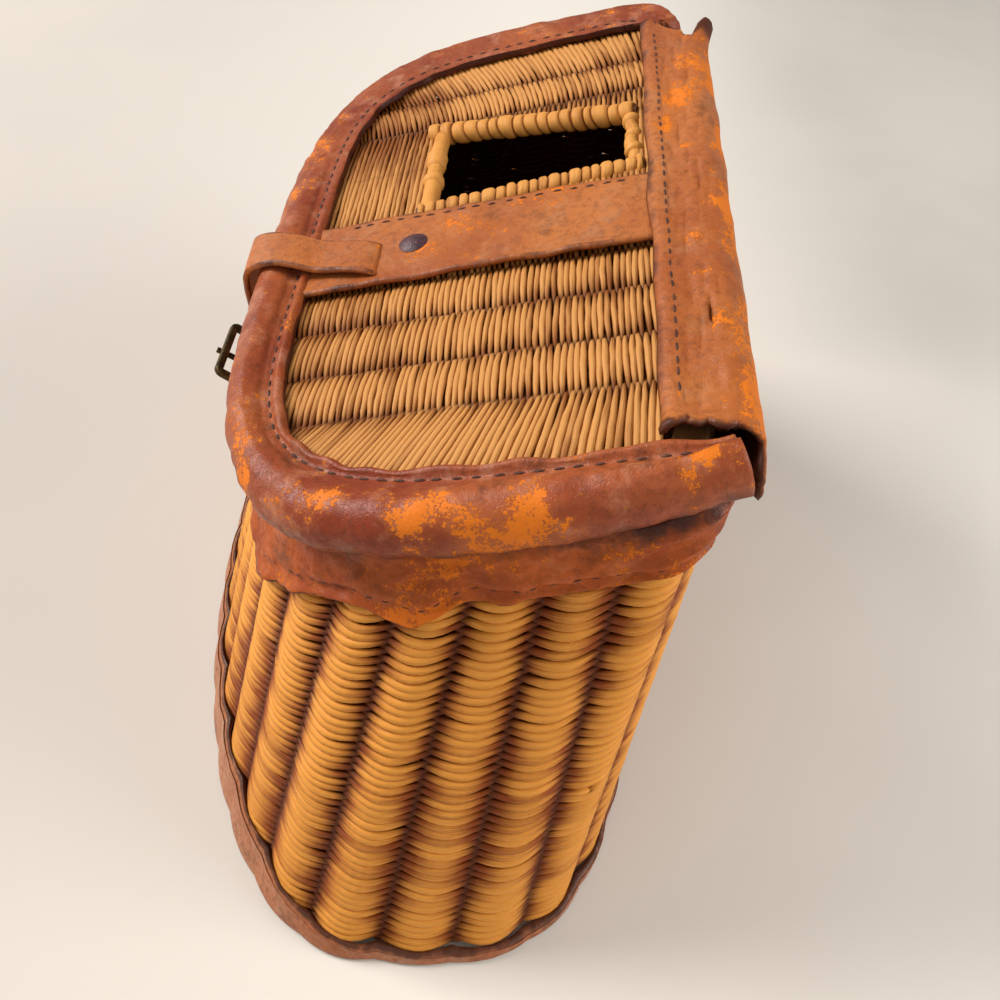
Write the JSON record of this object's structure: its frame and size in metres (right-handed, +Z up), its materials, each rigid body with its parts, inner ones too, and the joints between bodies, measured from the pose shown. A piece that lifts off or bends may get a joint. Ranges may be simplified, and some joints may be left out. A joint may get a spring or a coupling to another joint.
{
  "type": "wicker fishing creel",
  "caption": "Antique wicker fishing creel with leather-bound foot and mouth, sloping leather-hinged lid with a fish hole, centre strap, and buckle on the front.",
  "frame": {"origin": "under the middle of the foot, on the surface that the creel stands on", "axes": "+X along the basket towards the end without the fish hole, -Y towards the front with the buckle, +Z up"},
  "size_m": [0.3722, 0.1818, 0.2049],
  "materials": {
    "basket_wicker": "aged honey-brown split cane",
    "lid_wicker": "aged tan cane, duller than the basket",
    "hoop_cane": "rough split cane, covered by leather",
    "leather": "worn reddish-brown leather, scuffed to orange at the edges",
    "buckle_brass": "tarnished brass",
    "rivet_metal": "dark oxidised metal"
  },
  "bodies": {
    "basket": {"wall_weave": "basket_wicker", "wall_stakes": "basket_wicker", "floor_weave": "basket_wicker", "floor_hoop": "basket_wicker", "foot_leather": "leather", "mouth_hoop": "hoop_cane", "mouth_leather": "leather", "hinge_strip_back": "leather", "buckle_chape": "leather", "chape_rivets": "rivet_metal"},
    "lid": {"lid_weave": "lid_wicker", "lid_stakes": "lid_wicker", "lid_hoop": "hoop_cane", "lid_leather_roll": "leather", "hole_front_cane": "lid_wicker", "hole_back_cane": "lid_wicker", "hole_near_cane": "lid_wicker", "hole_far_cane": "lid_wicker", "hole_near_wrapping": "lid_wicker", "hole_far_wrapping": "lid_wicker", "centre_strap": "leather", "strap_rivet": "rivet_metal", "rivet_burr": "rivet_metal", "hinge_strip_lid": "leather", "latch_strap": "leather"},
    "latch_tail": {"latch_tail": "leather"},
    "buckle": {"buckle_frame": "buckle_brass"},
    "prong": {"buckle_prong": "buckle_brass"}
  },
  "joints": [
    {"name": "lid_hinge", "type": "hinge", "parent": "basket", "child": "lid", "pos_m": [0, 0.091, 0.19096], "axis": [-1, 0, 0], "range_deg": [0, 105]},
    {"name": "latch_swing", "type": "hinge", "parent": "lid", "child": "latch_tail", "pos_m": [0.00571, -0.07026, 0.15028], "axis": [-1, 0, 0], "range_deg": [0, 140]},
    {"name": "buckle_swing", "type": "hinge", "parent": "basket", "child": "buckle", "pos_m": [0, -0.06492, 0.09798], "axis": [1, 0, 0], "range_deg": [-66, 40]},
    {"name": "prong_swing", "type": "hinge", "parent": "buckle", "child": "prong", "pos_m": [0, -0.06492, 0.09798], "axis": [-1, 0, 0], "range_deg": [-30, 0]}
  ]
}
